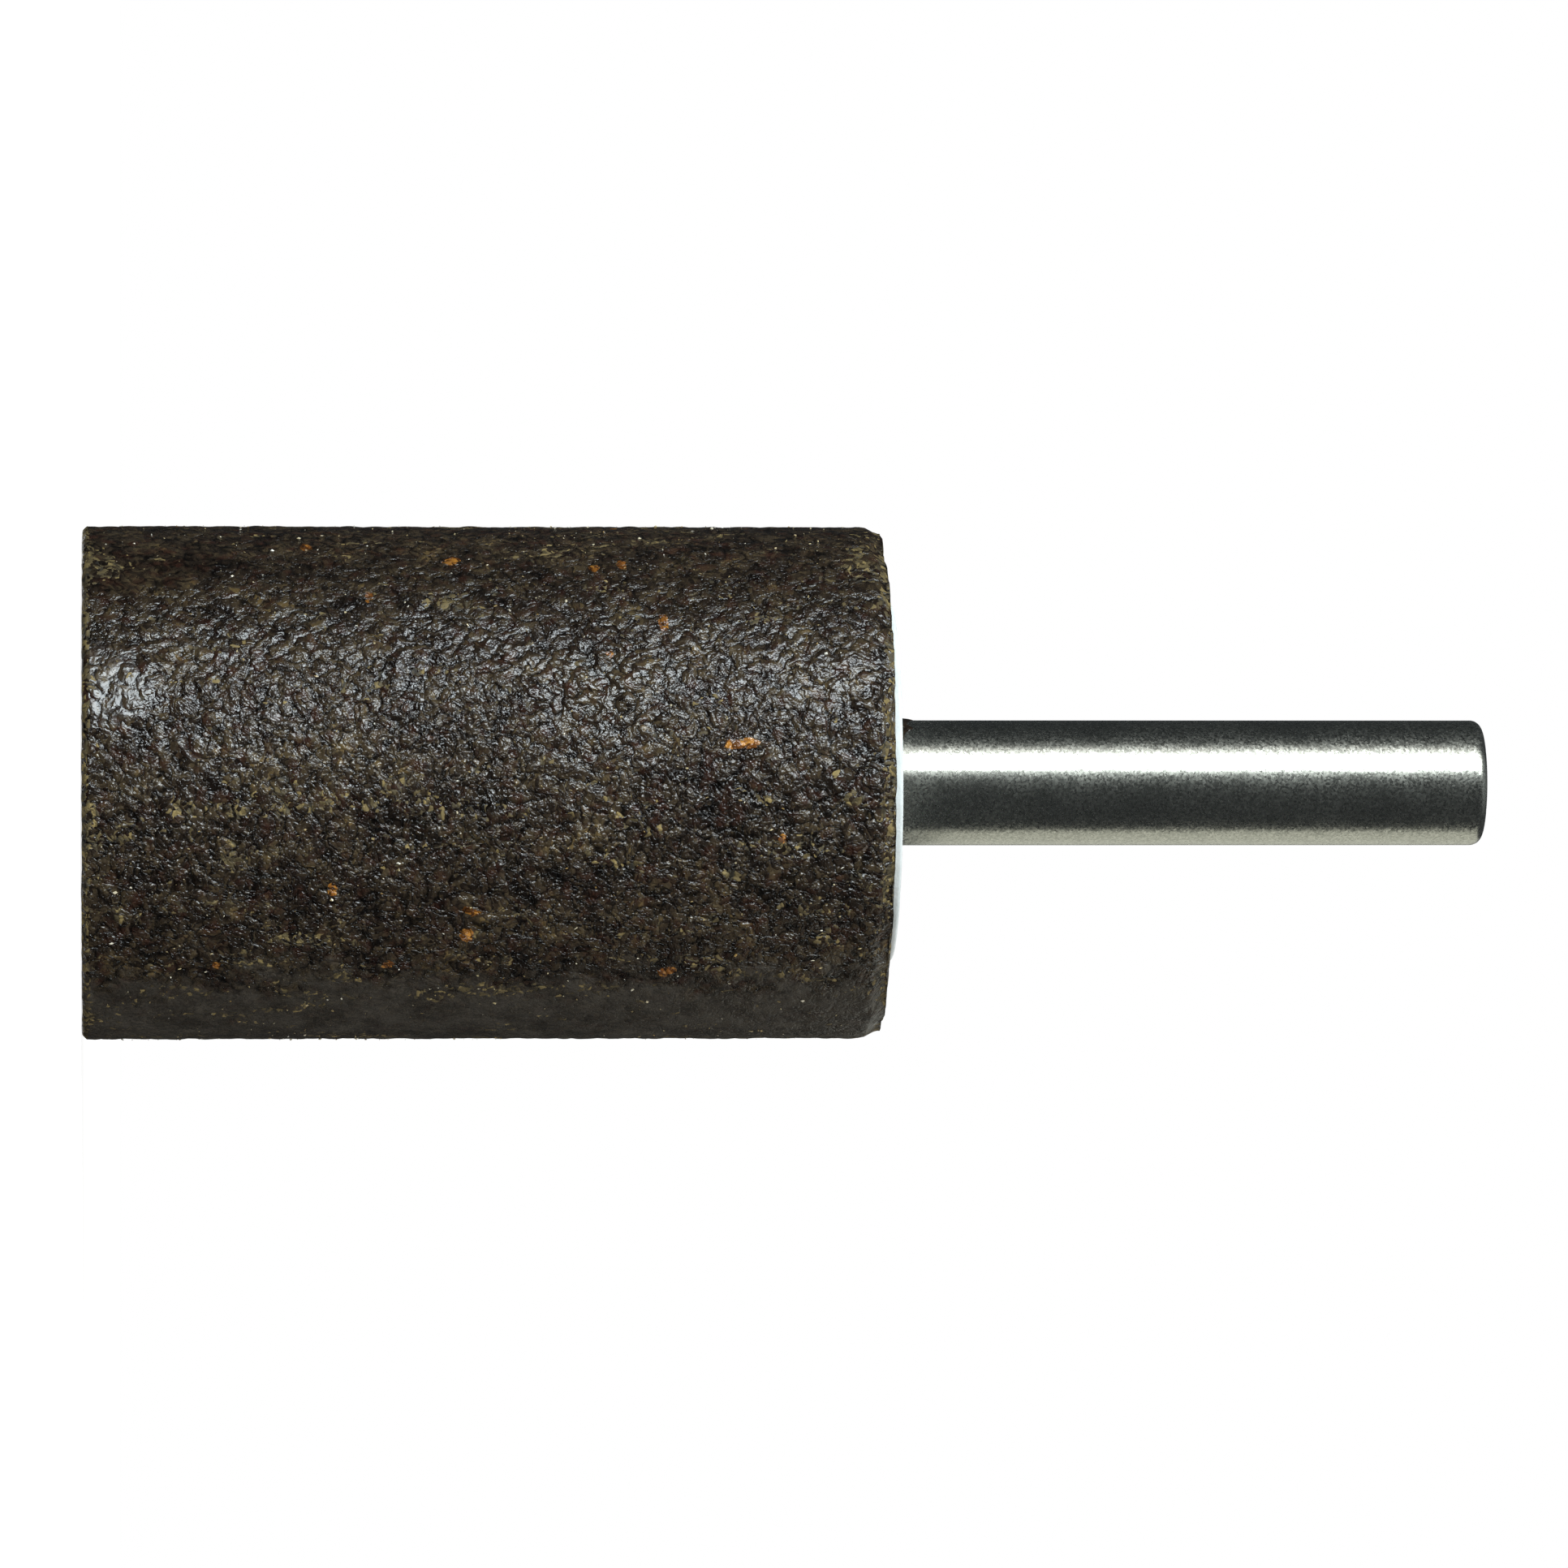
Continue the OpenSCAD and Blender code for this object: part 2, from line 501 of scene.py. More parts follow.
slivers = [on_skin(*seen) for seen in SLIVERS_SEEN] + list(strewn(STREWN_SLIVERS, (0.4, 1.2), (0.3, 0.5)))
patches = [on_skin(*seen) for seen in WORN_SEEN] + list(strewn(STREWN_WORN, (0.6, 2.4), (0.4, 1.0)))
filler = marked(slivers)
worn_patch = marked(patches)
print("filler slivers:", len(slivers), "worn patches:", len(patches))

# %% [markdown]
# Now the rings are pushed in by the noise, never out, so the body stays inside its construction
# model. The end faces were dressed flat, so their relief is lower. Along the lower side the skin was
# rubbed flat and took dust, the upper side is more even, and at the free end two spots are smoother
# still. Fine crumbs cover the side that the picture shows below the middle, and fewer of them the
# top. The rim at the shank side has crumbled, with chips a millimetre or two long, and the free
# edge is only worn.

# %% Push the skin in
SKIN_DEPTH = 0.09
FACE_DEPTH = 0.06
WAVE_DEPTH = 0.03
CRUMBLY = (0.15, 1.6)
UPPER_SIDE = (0.35, 0.75)
UPPER_SMOOTH = 0.35
UPPER_CRUMBLY = 0.45
CHIP_DEPTH = 0.27
CHIP_SIZE = 1.3
CHIP_REACH = 1.3
CHIP_EDGE = (0.38, 0.85)
CHIP_COARSE, CHIP_FINE = 0.75, 0.25
CHIP_INWARD, CHIP_DOWNWARD = 0.55, 0.8
BAND_EDGE, SPOT_EDGE = (0.7, 1.2), (0.85, 1.1)
EDGE_RAGGED = 0.5
DUSTY_SMOOTH = 0.4
FLATTENED = 0.75
CRUMBLY_EDGE = (0.25, 0.75)
PATCHY_SIZE, WAVE_SIZE = 6.0, 2.6
DUSTY_BAND = {"angle": -74, "half_angle": 27, "height": 19.0, "half_height": 80.0}
SMOOTH_SPOTS = (
    {"angle": 60, "half_angle": 14, "height": 2.0, "half_height": 5.0},
    {"angle": 21, "half_angle": 12, "height": 0.8, "half_height": 2.8},
)

outward = np.column_stack((skin_points[:, 0], skin_points[:, 1], np.zeros(len(skin_points))))
outward /= np.maximum(point_r, CLOSE)[:, None]
band_off = off_centre(**DUSTY_BAND) + EDGE_RAGGED * ragged + EDGE_RAGGED * frayed
dusty = (1 - fade(*BAND_EDGE, band_off)) * on_side
upwards = np.sin(np.radians(point_angle))
upper = fade(*UPPER_SIDE, upwards) * on_side
smooth = np.maximum(DUSTY_SMOOTH * dusty, UPPER_SMOOTH * upper)
for spot in SMOOTH_SPOTS:
    spot_off = off_centre(**spot) + EDGE_RAGGED * ragged
    smooth = np.maximum(smooth, (1 - fade(*SPOT_EDGE, spot_off)) * on_side)

turned_down = 0.5 - 0.5 * upwards + 0.5 * (cloud(skin_points, PATCHY_SIZE, 12) - 0.5)
crumbly = between(CRUMBLY, np.maximum(fade(*CRUMBLY_EDGE, turned_down), UPPER_CRUMBLY * upper))

depth = np.where(on_side, SKIN_DEPTH * (1 - FLATTENED * smooth), FACE_DEPTH) * (1 - flakes(skin_points))
depth += WAVE_DEPTH * cloud(skin_points, WAVE_SIZE, 3)
way_in = np.where(on_rim_face[:, None], (0, 0, -1), -outward)
way_in = np.where(on_free_face[:, None], (0, 0, 1), way_in)
moved = skin_points + way_in * np.where(hidden, 0, depth)[:, None]

near_rim = fade(body_length - CHIP_REACH, body_length, point_z)
near_rim *= fade(body_radius - CHIP_REACH, body_radius, point_r) * ~hidden
chip = CHIP_COARSE * fade(*CHIP_EDGE, cloud(skin_points, CHIP_SIZE, 5))
chip = chip + CHIP_FINE * cloud(skin_points, CHIP_SIZE / 3, 6)
moved += (-CHIP_INWARD * outward + (0, 0, -CHIP_DOWNWARD)) * (CHIP_DEPTH * near_rim * chip)[:, None]
print("deepest chip, millimetres:", round(CHIP_DEPTH * (near_rim * chip).max(), 2))

# %% [markdown]
# Six values are kept on every point for the material: how far the dark skin has worn off, how far
# the point lies in a sliver, how smooth it is, how dusty, how crumbly and how much painted shade
# darkens the upper side. Then the points become the piece that stands in for the construction
# model's plain cylinder.

# %% The grinding body
WORN_EDGE = 0.72
WORN_FACE = 0.35
WORN_RIM_REACH = 2.0
WORN_PATCH = 0.75
WORN_SIZE = 1.6
FREE_EDGE_REACH = 1.4


def new_piece(name, points, faces, smooth=True):
    """A piece of the tool from points in millimetres, fixed to the tool's only body."""
    mesh = bpy.data.meshes.new(name)
    mesh.from_pydata((np.asarray(points) * MM).tolist(), [], faces)
    mesh.polygons.foreach_set("use_smooth", np.full(len(mesh.polygons), smooth))
    piece = bpy.data.objects.new(name, mesh)
    bpy.context.scene.collection.objects.link(piece)
    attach(piece, "root")
    return piece


patch = cloud(skin_points, WORN_SIZE, 8)
free_edge = 1 - fade(0.25, 0.35 + FREE_EDGE_REACH * fade(0.62, 0.95, patch), point_z)
shank_edge = fade(body_length - WORN_RIM_REACH * patch, body_length - 0.1, point_z)
shank_edge *= fade(0.25, 0.55, patch)
worn = WORN_EDGE * np.maximum(free_edge, np.maximum(shank_edge, WORN_PATCH * worn_patch))
worn = np.where(on_side, worn, WORN_FACE)

body = new_piece("grinding_body", moved, skin_faces)
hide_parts("abrasive_body")
# The upper-side value is painted shade: it darkens the colour of the side that faces the softbox.
marks = {"worn": worn, "filler": filler, "smooth": smooth, "dusty": dusty, "crumbly": crumbly,
         "unbroken": upper * (1 - 0.6 * fade(0.80, 0.95, upwards))}
for name, values in marks.items():
    attribute = body.data.attributes.new(name, "FLOAT", "POINT")
    attribute.data.foreach_set("value", values.astype(np.float32))
body.data.calc_loop_triangles()
print("grinding body:", len(body.data.loop_triangles), "triangles")

# %% [markdown]
# The abrasive is held by a dark phenolic resin, moulded under heat. Cured resin is near black and
# brown and its skin is glossy, so the eye sees it mostly by the softbox on each little facet. What
# is finer than the mesh is a bump. Soft noise folded at its middle value gives lumps that meet in
# sharp creases, the way melted flakes do. On top of them lie small crumbs from cell noise: each
# cell leans its own way and falls off at the edge, so some tops flash and the gaps stay dark.
# Bending the place with soft noise first takes away straight edges.

# %% Relief of the resin crumbs
CRUMPLE_SIZE, CRUMPLE_HEIGHT, CRUMPLE_BEND = 0.8, 0.05, 1.0
LUMPS = ((0.85, 0.50), (0.42, 0.13))
LUMPS_AMONG_CRUMBS = 0.65
CREASE = 0.07
CRUMB_SIZE = 0.2
CRUMB_ROUND, CRUMB_LEAN, CRUMB_WALL = 0.20, 0.45, 0.012
WALL_SHARE = 0.14
GRIT_SIZE, GRIT_HEIGHT = 0.07, 0.008


def millimetres(tree):
    """The place on the piece, in millimetres."""
    place = add(tree, "TexCoord")
    return add(tree, "VectorMath", {0: (place, "Object"), 3: 1 / MM}, operation="SCALE")


def resin_crumbs(tree, place):
    """Nodes for the height of the skin, for its creases and for each crumb's random draws."""
    swirl = add(tree, "TexNoise", {"Vector": (place, 0), "Scale": 1 / CRUMPLE_SIZE, "Detail": 3.0})
    centred = add(tree, "VectorMath", {0: (swirl, "Color"), 1: (0.5, 0.5, 0.5)}, operation="SUBTRACT")
    bend = add(tree, "VectorMath", {0: (centred, 0), 3: CRUMPLE_BEND}, operation="SCALE")
    bent = add(tree, "VectorMath", {0: (place, 0), 1: (bend, 0)}, operation="ADD")
    grit = add(tree, "TexNoise", {"Vector": (place, 0), "Scale": 1 / GRIT_SIZE, "Detail": 1.0})
    uneven = add(tree, "Math", {0: (swirl, "Fac"), 1: CRUMPLE_HEIGHT}, operation="MULTIPLY")
    fine = add(tree, "Math", {0: (grit, "Fac"), 1: GRIT_HEIGHT, 2: (uneven, 0)}, operation="MULTIPLY_ADD")
    folds = []
    for size, lump_height in LUMPS:
        lump = add(tree, "TexNoise", {"Vector": (bent, 0), "Scale": 1 / size, "Detail": 0.0})
        middle = add(tree, "Math", {0: (lump, "Fac"), 1: 0.5}, operation="SUBTRACT")
        folded = add(tree, "Math", {0: (middle, 0)}, operation="ABSOLUTE")
        folds.append((folded, add(tree, "Math", {0: (folded, 0), 1: lump_height}, operation="MULTIPLY")))
    (wide, wide_height), (_, small_height) = folds
    # The crease mask also darkens the colour later, as painted shade in the creases.
    crease = add(tree, "MapRange", {"Value": (wide, 0), "From Max": CREASE, "To Min": 1.0, "To Max": 0.0})
    lumpy = add(tree, "Math", {0: (wide_height, 0), 1: (small_height, 0)}, operation="ADD")
    crumbly = add(tree, "Attribute", attribute_name="crumbly")
    lower = add(tree, "MapRange", {
        "Value": (crumbly, "Fac"), "From Min": CRUMBLY[0], "From Max": CRUMBLY[1],
        "To Min": 1.0, "To Max": LUMPS_AMONG_CRUMBS})
    height = add(tree, "Math", {0: (lumpy, 0), 1: (lower, 0), 2: (fine, 0)}, operation="MULTIPLY_ADD")

    crumb = add(tree, "TexVoronoi", {"Vector": (bent, 0), "Scale": 1 / CRUMB_SIZE})
    gap = add(tree, "TexVoronoi", {"Vector": (bent, 0), "Scale": 1 / CRUMB_SIZE},
              feature="DISTANCE_TO_EDGE")
    wall = add(tree, "MapRange", {"Value": (gap, "Distance"), "From Max": WALL_SHARE},
               interpolation_type="SMOOTHSTEP")
    slope = add(tree, "VectorMath", {0: (crumb, "Color"), 1: (0.5, 0.5, 0.5)}, operation="SUBTRACT")
    off = add(tree, "VectorMath", {0: (bent, 0), 1: (crumb, "Position")}, operation="SUBTRACT")
    leaning = add(tree, "VectorMath", {0: (slope, 0), 1: (off, 0)}, operation="DOT_PRODUCT")
    top = add(tree, "Math", {0: (leaning, "Value"), 1: CRUMB_LEAN, 2: CRUMB_WALL},
              operation="MULTIPLY_ADD")
    walled = add(tree, "Math", {0: (wall, 0), 1: (top, 0)}, operation="MULTIPLY")
    far = add(tree, "Math", {0: (crumb, "Distance"), 1: (crumb, "Distance")}, operation="MULTIPLY")
    rounded = add(tree, "Math", {0: (far, 0), 1: -CRUMB_ROUND * CRUMB_SIZE, 2: (walled, 0)},
                  operation="MULTIPLY_ADD")
    height = add(tree, "Math", {0: (rounded, 0), 1: (crumbly, "Fac"), 2: (height, 0)},
                 operation="MULTIPLY_ADD")
    return height, crease, add(tree, "SeparateXYZ", {0: (crumb, "Color")})


print("lumps and crumbs, millimetres:", [size for size, _ in LUMPS], CRUMB_SIZE)

# %% [markdown]
# The resin is not one colour: broad clouds of darker and lighter brown, a reddish tinge here and
# there, and its own tone for each small crumb. Streaks of yellow-brown filler run along the axis,
# the way the mix was pressed. Whether a crumb is bare filler is decided crumb by crumb: each has a
# random number, and it is bare where that number is below the share that has worn off there. The
# upper side and the creases are painted darker as painted shade, the creases less where dusty.

# %% Colours of the resin crumbs
RESIN = ((0.42, "#16100c"), (0.60, "#282019"), (0.76, "#3a3024"), (0.92, "#4e422f"), (1.0, "#675536"))
FILLER = ((0.0, "#3c3118"), (0.5, "#5e4f29"), (1.0, "#8c7845"))
SLIVER = ((0.0, "#46290f"), (0.5, "#7c4a1c"), (1.0, "#b57c34"))
CLOUD_SIZE = 1.9
REDDISH_SIZE = 0.7
STREAK_WIDTH, STREAK_LENGTH = 1.3, 4.5
STREAK_SHARE = 0.24
REDDISH, REDDISH_SHARE = "#432419", 0.45
DUST, DUST_SHARE = "#4e473b", (0.35, 0.85)
SLIVER_EDGE = (0.35, 0.75)
CRUMB_TONE = 0.36
# Painted shade: the colour of the upper side is darkened to this share.
UPPER_PAINTED_SHADE = 0.68
# Painted shade: the colour in the creases is darkened to this share, and less where the skin is dusty.
CREASE_SHADE, DUSTY_CREASE_SHADE = 0.15, 0.85


def colour_ramp(tree, value, stops):
    """A node that turns a value into a colour, from (position, hex colour) stops."""
    node = add(tree, "ValToRGB", {"Fac": value})
    for number, (position, hex_colour) in enumerate(stops):
        if number < 2:
            stop = node.color_ramp.elements[number]
            stop.position = position
        else:
            stop = node.color_ramp.elements.new(position)
        stop.color = linear(hex_colour)
    return node


def resin_colours(tree, place, crease, draw):
    """Nodes for the colour of the skin, with painted shade in the creases and on the upper side, and for
    where a crumb is bare filler.
    """
    worn_off = add(tree, "Attribute", attribute_name="worn")
    in_sliver = add(tree, "Attribute", attribute_name="filler")
    dusty_skin = add(tree, "Attribute", attribute_name="dusty")
    clouds = add(tree, "TexNoise", {
        "Vector": (place, 0), "Scale": 1 / CLOUD_SIZE, "Detail": 4.0, "Roughness": 0.65})
    tone = add(tree, "Math", {0: (draw, "X"), 1: CRUMB_TONE, 2: (clouds, "Fac")},
               operation="MULTIPLY_ADD")
    resin = colour_ramp(tree, (tone, 0), RESIN)
    tinge = add(tree, "TexNoise", {"Vector": (place, 0), "Scale": 1 / REDDISH_SIZE, "Detail": 2.0})
    reddish = add(tree, "MapRange", {
        "Value": (tinge, "Fac"), "From Min": 0.52, "From Max": 0.72, "To Max": REDDISH_SHARE})
    tinged = add(tree, "Mix", {"Factor": (reddish, 0), 6: (resin, 0), 7: linear(REDDISH)},
                 data_type="RGBA")
    patchy = add(tree, "MapRange", {"Value": (clouds, "Fac"), "From Min": 0.35, "From Max": 0.65,
                                    "To Min": DUST_SHARE[0], "To Max": DUST_SHARE[1]})
    dust = add(tree, "Math", {0: (dusty_skin, "Fac"), 1: (patchy, 0)}, operation="MULTIPLY")
    dulled = add(tree, "Mix", {"Factor": (dust, 0), 6: (tinged, 2), 7: linear(DUST)}, data_type="RGBA")

    drawn_out = add(tree, "VectorMath", {0: (place, 0), 1: (1, 1, STREAK_WIDTH / STREAK_LENGTH)},
                    operation="MULTIPLY")
    streaks = add(tree, "TexNoise", {"Vector": (drawn_out, 0), "Scale": 1 / STREAK_WIDTH, "Detail": 2.0})
    streaky = add(tree, "MapRange", {
        "Value": (streaks, "Fac"), "From Min": 0.55, "From Max": 0.75, "To Max": STREAK_SHARE})
    crumbly = add(tree, "Attribute", attribute_name="crumbly")
    broken = add(tree, "Math", {0: (streaky, 0), 1: (crumbly, "Fac")}, operation="MULTIPLY")
    share = add(tree, "Math", {0: (worn_off, "Fac"), 1: (broken, 0)}, operation="MAXIMUM")
    bare = add(tree, "Math", {0: (draw, "Z"), 1: (share, 0)}, operation="LESS_THAN")
    edge = add(tree, "MapRange", {
        "Value": (draw, "Z"), "To Min": SLIVER_EDGE[0], "To Max": SLIVER_EDGE[1]})
    sliver_here = add(tree, "Math", {0: (edge, 0), 1: (in_sliver, "Fac")}, operation="LESS_THAN")
    filler_tone = colour_ramp(tree, (draw, "Y"), FILLER)
    sliver_tone = colour_ramp(tree, (draw, "X"), SLIVER)
    mottled = add(tree, "Mix", {"Factor": (bare, 0), 6: (dulled, 2), 7: (filler_tone, 0)},
                  data_type="RGBA")
    flecked = add(tree, "Mix", {"Factor": (sliver_here, 0), 6: (mottled, 2), 7: (sliver_tone, 0)},
                  data_type="RGBA")

    # Painted shade: the colour is darkened on the upper side and in the creases, less in dusty creases.
    upper_shade_here = add(tree, "Attribute", attribute_name="unbroken")
    darker = add(tree, "MapRange", {
        "Value": (upper_shade_here, "Fac"), "To Min": 1.0, "To Max": UPPER_PAINTED_SHADE})
    # Painted shade in the creases, lighter where dust lies in them.
    crease_shade_here = add(tree, "MapRange", {
        "Value": (dusty_skin, "Fac"), "To Min": CREASE_SHADE, "To Max": DUSTY_CREASE_SHADE})
    shade = add(tree, "MapRange", {"Value": (crease, 0), "To Min": (darker, 0), "To Max": (crease_shade_here, 0)})
    colour = add(tree, "VectorMath", {0: (flecked, 2), 3: (shade, 0)}, operation="SCALE")
    matt_here = add(tree, "Math", {0: (bare, 0), 1: (dust, 0)}, operation="MAXIMUM")
    return colour, matt_here


print("streaks, millimetres:", STREAK_WIDTH, "by", STREAK_LENGTH)

# %% [markdown]
# The two come together in one shader. Moulded phenolic resin has an index of about 1.6 and a gloss
# that differs from crumb to crumb. Bare filler and dust are matt.

# %% Material of the grinding body: moulded phenolic resin over abrasive
GLOSS = (0.09, 0.24)
MATT = 0.7


def phenolic_abrasive():
    """Moulded phenolic resin over abrasive: glossy dark crumbs that flash, with matt filler."""
    material, tree = new_material("moulded phenolic abrasive")
    place = millimetres(tree)
    height, crease, draw = resin_crumbs(tree, place)
    colour, matt_here = resin_colours(tree, place, crease, draw)
    smooth_skin = add(tree, "Attribute", attribute_name="smooth")
    relief = add(tree, "MapRange", {"Value": (smooth_skin, "Fac"), "To Min": 1.0, "To Max": 0.3})
    crumbs = add(tree, "Bump", {"Height": (height, 0), "Distance": MM, "Strength": (relief, 0)})
    gloss = add(tree, "MapRange", {"Value": (draw, "Y"), "To Min": GLOSS[0], "To Max": GLOSS[1]})
    rough = add(tree, "Mix", {"Factor": (matt_here, 0), "A": (gloss, 0), "B": MATT})
    shader = add(tree, "BsdfPrincipled", {
        "Base Color": (colour, 0), "Roughness": (rough, 0), "IOR": 1.6, "Normal": (crumbs, 0)})
    add(tree, "OutputMaterial", {"Surface": (shader, 0)})
    return material


body.data.materials.append(phenolic_abrasive())
print("body material:", body.data.materials[0].name)

# %% [markdown]
# Many tiny pale grains of the abrasive itself catch the light in the skin. They are real bits of
# stuff, so they are modelled: little eight-sided crystals, sunk more than half into the skin and
# strewn from a fixed seed, most of them hardly a twentieth of a millimetre across.

# %% Pale abrasive grains
GRAINS = 1500
GRAIN_SIZE = (0.03, 0.13)
GRAIN_SUNK = 0.6
GRAIN_RAGGED = 0.25
GRAIN_TONE_SIZE = 1.5
CRYSTAL_POINTS = np.array(((1, 0, 0), (0, 1, 0), (-1, 0, 0), (0, -1, 0), (0, 0, 1), (0, 0, -1)))
CRYSTAL_FACES = [(0, 1, 4), (1, 2, 4), (2, 3, 4), (3, 0, 4), (1, 0, 5), (2, 1, 5), (3, 2, 5), (0, 3, 5)]


def pale_grain():
    """Fused alumina, broken into grains: pale, and bright where a clean face mirrors the lamp."""
    material, tree = new_material("broken fused alumina")
    place = millimetres(tree)
    tone = add(tree, "TexNoise", {"Vector": (place, 0), "Scale": 1 / GRAIN_TONE_SIZE, "Detail": 2.0})
    colour = colour_ramp(tree, (tone, "Fac"), ((0.35, "#8f7343"), (0.5, "#c2b186"), (0.65, "#e4e0d4")))
    shader = add(tree, "BsdfPrincipled", {"Base Color": (colour, 0), "Roughness": 0.2, "IOR": 1.77})
    add(tree, "OutputMaterial", {"Surface": (shader, 0)})
    return material


draw = np.random.default_rng(STREW_SEED)
grain_points, grain_faces = [], []
for angle, height in zip(draw.uniform(-180, 180, GRAINS), draw.uniform(0.6, body_length - 1.5, GRAINS)):
    size = between(GRAIN_SIZE, draw.random() ** 3)
    out = set_direction(angle)
    axes = np.array((np.cross((0, 0, 1), out), (0, 0, 1.4), out)) * size / 2
    turned = draw.uniform(-0.7, 0.7, (3, 3)) + np.eye(3)
    crystal = CRYSTAL_POINTS * (1 + GRAIN_RAGGED * draw.uniform(-1, 1, (6, 1))) @ turned @ axes
    first = len(grain_points)
    grain_points += (crystal + out * (body_radius - GRAIN_SUNK * size) + (0, 0, height)).tolist()
    grain_faces += [tuple(first + v for v in face) for face in CRYSTAL_FACES]
grains = new_piece("pale_grains", grain_points, grain_faces, smooth=False)
grains.data.materials.append(pale_grain())
print("pale grains:", GRAINS)

# %% [markdown]
# The shank is centreless-ground steel, tumbled afterwards to take off the burrs. That leaves a
# bright surface with a fine haze of tiny dents, so a lamp in it is a bright band with a speckled
# glow at its edges. The construction model's shank has the right shape already, with its rounded
# end, so only its material is new. Steel keeps the default index of a metal here. The dents are a
# few hundredths of a millimetre wide, too fine to show, so they are drawn at about a tenth: cells
# of noise that each tip the surface their own way by a few degrees. Handling dulled the free end
# more than the root, and drawing the bar left faint streaks along it.

# %% Material of the shank: centreless-ground steel
DENT = 0.09
DENT_TILT = 0.065
SMUDGE = 2.6
STREAK = 0.16
STREAK_STRETCH = 60
STREAK_HEIGHT = 0.001
CLEAN_ROUGHNESS = 0.22
HAZE_ROUGHNESS = 0.36
HANDLED_END = 0.12

shank = frame["nodes"]["shank"]
shank_r, shank_z = profile("shank")
shank_radius, shank_end = shank_r.max(), shank_z.max()


def ground_steel():
    """Ground and tumbled steel: a bright mirror band with a speckled glow beside it."""
    material, tree = new_material("centreless-ground steel")
    place = millimetres(tree)
    axis_place = add(tree, "SeparateXYZ", {0: (place, 0)})
    along = add(tree, "MapRange", {
        "Value": (axis_place, "Z"), "From Min": body_length, "From Max": shank_end,
        "To Min": -HANDLED_END, "To Max": HANDLED_END})
    smudges = add(tree, "TexNoise", {"Vector": (place, 0), "Scale": 1 / SMUDGE, "Detail": 3.0})
    handled = add(tree, "Math", {0: (smudges, "Fac"), 1: (along, 0)}, operation="ADD")
    dulled = add(tree, "MapRange", {"Value": (handled, 0), "From Min": 0.35, "From Max": 0.62,
                                    "To Min": 0.5, "To Max": 1.0})
    dents = add(tree, "TexVoronoi", {"Vector": (place, 0), "Scale": 1 / DENT})
    draw = add(tree, "SeparateXYZ", {0: (dents, "Color")})
    haze = add(tree, "Math", {0: (draw, "Z"), 1: (dulled, 0)}, operation="MULTIPLY")
    rough = add(tree, "MapRange", {
        "Value": (haze, 0), "To Min": CLEAN_ROUGHNESS, "To Max": HAZE_ROUGHNESS})
    lean = add(tree, "VectorMath", {0: (dents, "Color"), 1: (0.5, 0.5, 0.5)}, operation="SUBTRACT")
    how_far = add(tree, "Math", {0: (dulled, 0), 1: DENT_TILT}, operation="MULTIPLY")
    tilt = add(tree, "VectorMath", {0: (lean, 0), 3: (how_far, 0)}, operation="SCALE")
    drawn_out = add(tree, "VectorMath", {0: (place, 0), 1: (1, 1, 1 / STREAK_STRETCH)},
                    operation="MULTIPLY")
    streaks = add(tree, "TexNoise", {"Vector": (drawn_out, 0), "Scale": 1 / STREAK, "Detail": 2.0})
    drawn = add(tree, "Bump", {
        "Height": (streaks, "Fac"), "Distance": STREAK_HEIGHT * MM, "Strength": 1.0})
    tipped = add(tree, "VectorMath", {0: (drawn, 0), 1: (tilt, 0)}, operation="ADD")
    surface = add(tree, "VectorMath", {0: (tipped, 0)}, operation="NORMALIZE")
    colour = colour_ramp(tree, (draw, "X"), ((0.0, "#acaca2"), (1.0, "#d4d3c8")))
    shader = add(tree, "BsdfPrincipled", {
        "Base Color": (colour, 0), "Metallic": 1.0, "Roughness": (rough, 0), "Normal": (surface, 0)})
    add(tree, "OutputMaterial", {"Surface": (shader, 0)})
    return material


shank.data.materials[0] = ground_steel()
print("shank:", len(shank.data.polygons), "faces")

# %% [markdown]
# A paper blotter sits on the shank-side face, and it is blank here. It is about half a millimetre
# thick, and seen from the side it is only a pale line. It was punched out, so its edge is slightly
# uneven and rounded over. The ring is modelled again with that edge and with the slight waves that
# paper takes when it is glued to a rough face.

# %% Paper blotter
PAPER_ROUND = 240
PAPER_STEP = 0.45
PAPER_EDGE = 0.1
PAPER_WAVE = 0.03
PAPER_RAGGED = 0.07
FIBRE_SIZE, FELT_HEIGHT = 0.18, 0.03
PAPER_CLOUD_SIZE = 2.2


def wrap(count, number_of_rings):
    """Faces round a closed tube of rings that have that many points each."""
    faces = []
    for number in range(number_of_rings):
        low = np.arange(count) + number * count
        high = np.arange(count) + (number + 1) % number_of_rings * count
        faces += stitch(low, high)
    return faces


blotter_r, blotter_z = profile("paper_blotter")
paper_low, paper_high = blotter_z.min(), blotter_z.max()
hole_radius, paper_radius = blotter_r.min(), blotter_r.max()
edge_radius = paper_radius - PAPER_EDGE
paper_outline = (
    steps((hole_radius, paper_low), (edge_radius, paper_low), 2.0)
    + steps((edge_radius, paper_low), (paper_radius, paper_low + PAPER_EDGE), PAPER_EDGE)
    + steps((paper_radius, paper_low + PAPER_EDGE), (paper_radius, paper_high - PAPER_EDGE), PAPER_EDGE)
    + steps((paper_radius, paper_high - PAPER_EDGE), (edge_radius, paper_high), PAPER_EDGE)
    + steps((edge_radius, paper_high), (hole_radius, paper_high), PAPER_STEP)
    + [(hole_radius, paper_high)]
)
paper_points = np.concatenate([ring(radius, height, PAPER_ROUND) for radius, height in paper_outline])
paper_r = np.hypot(paper_points[:, 0], paper_points[:, 1])
pull = fade(paper_radius - 0.6, paper_radius, paper_r) * PAPER_RAGGED * cloud(paper_points, 0.5, 21)
paper_points[:, :2] *= (1 - pull / paper_r)[:, None]
sink = PAPER_WAVE * cloud(paper_points, 1.8, 22)
paper_points[:, 2] -= sink * fade(paper_low + 0.2, paper_high, paper_points[:, 2])
blotter = new_piece("blotter_ring", paper_points, wrap(PAPER_ROUND, len(paper_outline)))
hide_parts("paper_blotter")


